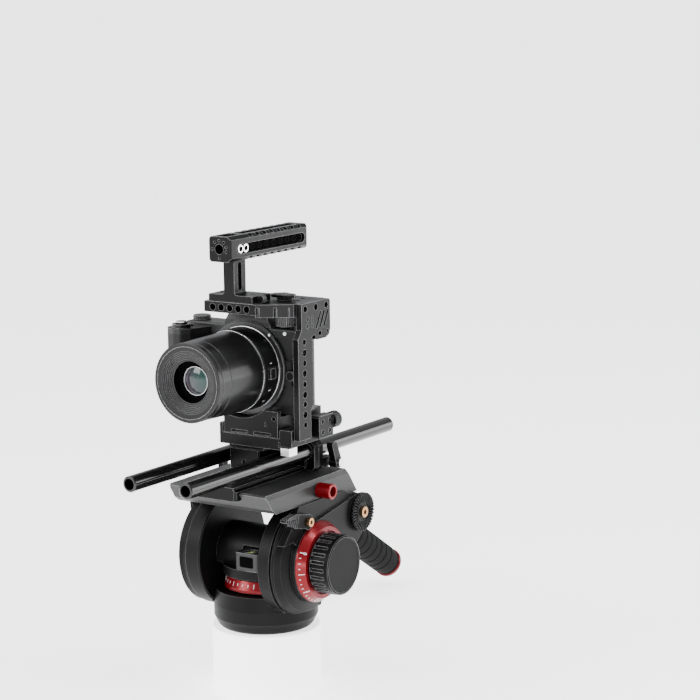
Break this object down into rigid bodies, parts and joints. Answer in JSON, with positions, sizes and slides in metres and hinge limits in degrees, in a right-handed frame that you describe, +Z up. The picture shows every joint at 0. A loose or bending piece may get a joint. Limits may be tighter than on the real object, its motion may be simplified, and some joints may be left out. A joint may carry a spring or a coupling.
{
  "type": "cinema camera rig",
  "caption": "Mirrorless camera with a prime lens in a half cage with a top handle, on two rails, carried by a fluid video head with a pan bar.",
  "frame": {"origin": "centre of the fluid head's flat bottom face, on the pan axis, where the tripod screw enters", "axes": "+Z up along the pan axis; the lens looks along -Y; +X is the operator's left, the side with the cage plate and the drag knob; the tilt axis lies along X"},
  "size_m": [0.1954, 0.528, 0.4297],
  "materials": {
    "head_black": "powder coated, satin",
    "platform_grey": "powder coated, fine grain",
    "red_anodised": "anodised, satin",
    "red_cap": "satin",
    "knob_black": "matte with polished edges",
    "grip_rubber": "ribbed, matte",
    "eyecup_rubber": "matte",
    "steel": "machined",
    "bronze": "satin",
    "bright_screw": "bright",
    "rig_black": "black anodised, satin",
    "rod_black": "black anodised, polished",
    "bright_tab": "bright",
    "camera_black": "satin with leatherette",
    "dial_black": "black anodised",
    "lens_black": "satin black",
    "mount_silver": "satin black ring",
    "lens_glass": "coated",
    "screen_glass": "glossy",
    "battery_black": "matte"
  },
  "bodies": {
    "stand": {"pan_base": "head_black", "base_thread_bush": "steel"},
    "pan_ring": {"pan_drag_ring": "red_anodised"},
    "pan_lock": {"pan_lock_lever": "knob_black"},
    "pan_head": {"head_yoke": "head_black", "tilt_cartridge": "head_black", "right_drum_cover": "head_black", "left_drum_cover": "head_black", "counterbalance_spring": "steel", "level_base": "head_black"},
    "tilt_head": {"tilt_platform": "platform_grey", "right_cheek": "head_black", "left_cheek": "head_black", "tilt_shaft": "steel", "right_rosette": "head_black", "head_screws": "bronze", "drag_index_ring": "red_anodised"},
    "drag_knob": {"tilt_drag_knob": "knob_black"},
    "tilt_lock": {"tilt_lock_lever": "knob_black"},
    "plate_lock": {"plate_lock_knob": "red_anodised"},
    "pan_bar": {"pan_bar_clamp": "head_black", "pan_bar_tube": "rod_black", "pan_bar_grip": "grip_rubber", "pan_bar_end_cap": "red_cap"},
    "bar_lever": {"pan_bar_clamp_lever": "knob_black"},
    "rig": {"sliding_plate": "rig_black", "riser_block": "rig_black", "rod_clamp": "rig_black", "qr_base": "rig_black", "side_block": "rig_black", "cage_side": "rig_black", "cage_top": "rig_black", "handle_bracket": "rig_black", "top_handle": "rig_black", "rig_screws": "bright_screw"},
    "rod_right": {"right_rod": "rod_black"},
    "rod_left": {"left_rod": "rod_black"},
    "clamp_lever": {"rod_clamp_lever": "rig_black"},
    "lock_tab": {"qr_lock_tab": "bright_tab"},
    "block_knob": {"side_knob": "knob_black"},
    "thumb_screw": {"handle_thumb_screw": "knob_black"},
    "camera": {"camera_plate": "rig_black", "camera_body": "camera_black", "camera_grip": "camera_black", "camera_battery": "battery_black", "image_sensor": "screen_glass", "viewfinder_housing": "camera_black", "eyecup": "eyecup_rubber", "mount_ring": "mount_silver", "lens_barrel": "lens_black", "lens_rear_barrel": "lens_black", "lens_glass": "lens_glass"},
    "screen": {"rear_screen": "screen_glass"},
    "dial": {"mode_dial": "dial_black"},
    "rear_dial": {"command_dial": "dial_black"},
    "power_switch": {"power_collar": "dial_black"},
    "shutter": {"shutter_button": "dial_black"},
    "release": {"lens_release_button": "dial_black"},
    "focus_ring": {"lens_focus_ring": "lens_black"},
    "mode_switch": {"lens_mode_switch": "dial_black"}
  },
  "joints": [
    {"name": "pan", "type": "hinge", "parent": "stand", "child": "pan_head", "pos_m": [0, 0, 0.04], "axis": [0, 0, 1], "continuous": true},
    {"name": "pan_drag", "type": "hinge", "parent": "stand", "child": "pan_ring", "pos_m": [0, 0, 0.043], "axis": [0, 0, 1], "range_deg": [-150, 150]},
    {"name": "pan_lock", "type": "hinge", "parent": "stand", "child": "pan_lock", "pos_m": [0, 0.053, 0.008], "axis": [0, 1, 0], "range_deg": [-6, 10]},
    {"name": "tilt", "type": "hinge", "parent": "pan_head", "child": "tilt_head", "pos_m": [0, 0, 0.068], "axis": [1, 0, 0], "range_deg": [-60, 70]},
    {"name": "tilt_drag", "type": "hinge", "parent": "tilt_head", "child": "drag_knob", "pos_m": [0.08, 0, 0.068], "axis": [1, 0, 0], "range_deg": [-150, 150]},
    {"name": "tilt_lock", "type": "hinge", "parent": "tilt_head", "child": "tilt_lock", "pos_m": [0.062, -0.021, 0.111], "axis": [1, 0, 0], "range_deg": [-10, 30]},
    {"name": "plate_lock", "type": "hinge", "parent": "tilt_head", "child": "plate_lock", "pos_m": [0.065, 0.009, 0.1345], "axis": [1, 0, 0], "range_deg": [-180, 180]},
    {"name": "pan_bar_swing", "type": "hinge", "parent": "tilt_head", "child": "pan_bar", "pos_m": [-0.0845, 0.073, 0.1005], "axis": [1, 0, 0], "range_deg": [-45, 45]},
    {"name": "bar_lever_turn", "type": "hinge", "parent": "pan_bar", "child": "bar_lever", "pos_m": [-0.0995, 0.073, 0.1005], "axis": [1, 0, 0], "range_deg": [-60, 60]},
    {"name": "plate_slide", "type": "slide", "parent": "tilt_head", "child": "rig", "axis": [0, 1, 0], "range_m": [-0.02, 0.02]},
    {"name": "right_rod_slide", "type": "slide", "parent": "rig", "child": "rod_right", "axis": [0, 1, 0], "range_m": [-0.07, 0.07]},
    {"name": "left_rod_slide", "type": "slide", "parent": "rig", "child": "rod_left", "axis": [0, 1, 0], "range_m": [-0.07, 0.07]},
    {"name": "clamp_lever_turn", "type": "hinge", "parent": "rig", "child": "clamp_lever", "pos_m": [0.048, 0.0516, 0.1523], "axis": [1, 0, 0], "range_deg": [-40, 40]},
    {"name": "lock_tab_press", "type": "slide", "parent": "rig", "child": "lock_tab", "axis": [0, 1, 0], "range_m": [0, 0.003], "stiffness_N_per_m": 400},
    {"name": "block_knob_turn", "type": "hinge", "parent": "rig", "child": "block_knob", "pos_m": [0.056, 0.036, 0.1975], "axis": [0, 1, 0], "continuous": true},
    {"name": "thumb_screw_turn", "type": "hinge", "parent": "rig", "child": "thumb_screw", "pos_m": [0.0298, -0.039, 0.32], "axis": [0, 1, 0], "continuous": true},
    {"name": "camera_slide", "type": "slide", "parent": "rig", "child": "camera", "axis": [0, 1, 0], "range_m": [0, 0.11]},
    {"name": "screen_tilt", "type": "hinge", "parent": "camera", "child": "screen", "pos_m": [0, 0.008, 0.272], "axis": [1, 0, 0], "range_deg": [0, 90]},
    {"name": "mode_dial_turn", "type": "hinge", "parent": "camera", "child": "dial", "pos_m": [0.0372, -0.0103, 0.296], "axis": [0, 0, 1], "continuous": true},
    {"name": "rear_dial_turn", "type": "hinge", "parent": "camera", "child": "rear_dial", "pos_m": [-0.062, -0.009, 0.293], "axis": [0, 0, 1], "continuous": true},
    {"name": "power_turn", "type": "hinge", "parent": "camera", "child": "power_switch", "pos_m": [-0.061, -0.0425, 0.289], "axis": [0, 0, 1], "range_deg": [-30, 0]},
    {"name": "shutter_press", "type": "slide", "parent": "camera", "child": "shutter", "axis": [0, 0, -1], "range_m": [0, 0.0015], "stiffness_N_per_m": 400},
    {"name": "lens_release_press", "type": "slide", "parent": "camera", "child": "release", "axis": [0, 1, 0], "range_m": [0, 0.002], "stiffness_N_per_m": 400},
    {"name": "focus_turn", "type": "hinge", "parent": "camera", "child": "focus_ring", "pos_m": [0, -0.073, 0.2516], "axis": [0, 1, 0], "continuous": true},
    {"name": "mode_switch_slide", "type": "slide", "parent": "camera", "child": "mode_switch", "axis": [0, 1, 0], "range_m": [0, 0.003]}
  ]
}
